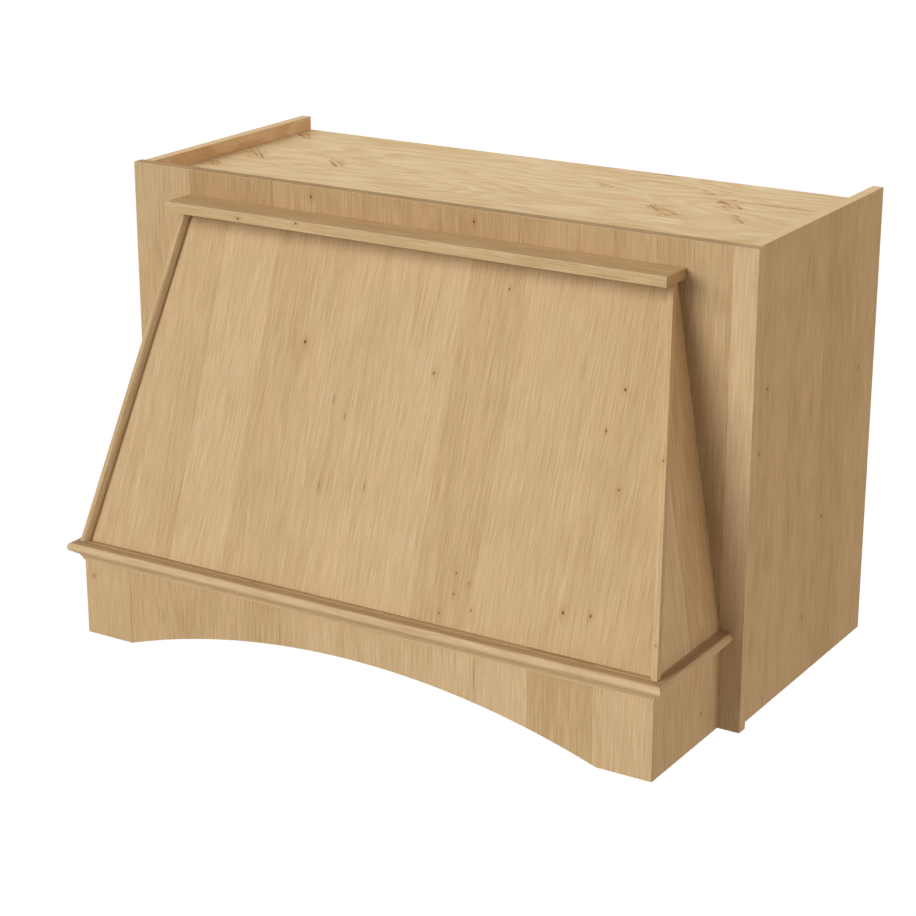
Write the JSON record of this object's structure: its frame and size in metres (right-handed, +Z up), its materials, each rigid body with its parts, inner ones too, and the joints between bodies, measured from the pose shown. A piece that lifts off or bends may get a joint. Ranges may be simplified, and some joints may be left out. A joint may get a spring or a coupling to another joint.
{
  "type": "range hood cover",
  "caption": "Wall-hung wooden range hood cover: an open-bottomed box with a tapered canopy, flat cap board, moulded ledge and arched apron.",
  "frame": {"origin": "middle of the upper wall rail's back face, where the cover is fastened to the wall", "axes": "+X to the right seen from the room, +Y into the wall, +Z up; the canopy faces -Y"},
  "size_m": [0.9144, 0.5722, 0.6096],
  "materials": {
    "face_board": "sanded bare maple, vertical grain",
    "box_board": "sanded bare maple, vertical grain",
    "top_board": "unsanded light plywood, grain along the length",
    "canopy_board": "sanded bare maple planks, small knots",
    "trim": "sanded bare maple, grain along the length",
    "batten": "rough sawn softwood",
    "screw_steel": "zinc plated"
  },
  "bodies": {
    "root": {"side_panel_left": "box_board", "side_panel_right": "box_board", "face_panel": "face_board", "top_panel": "top_board", "wall_rail_upper": "batten", "wall_rail_lower": "batten", "top_cleat_front": "batten", "top_cleat_left": "batten", "top_cleat_right": "batten", "face_cleat_left": "batten", "face_cleat_right": "batten", "liner_cleat_left": "batten", "liner_cleat_right": "batten", "apron_front": "canopy_board", "apron_left": "canopy_board", "apron_right": "canopy_board", "apron_block_left": "batten", "apron_block_right": "batten", "return_cleat_left": "batten", "return_cleat_right": "batten", "moulding_front": "trim", "moulding_left": "trim", "moulding_right": "trim", "cheek_left": "canopy_board", "cheek_right": "canopy_board", "sloped_panel": "canopy_board", "corner_strip_left": "trim", "corner_strip_right": "trim", "cap_board": "trim", "cheek_cleat_left": "batten", "cheek_cleat_right": "batten", "panel_rail": "batten", "canopy_screw_1": "screw_steel", "canopy_screw_2": "screw_steel", "canopy_screw_3": "screw_steel", "canopy_screw_4": "screw_steel", "canopy_screw_5": "screw_steel", "canopy_screw_6": "screw_steel"}
  },
  "joints": []
}
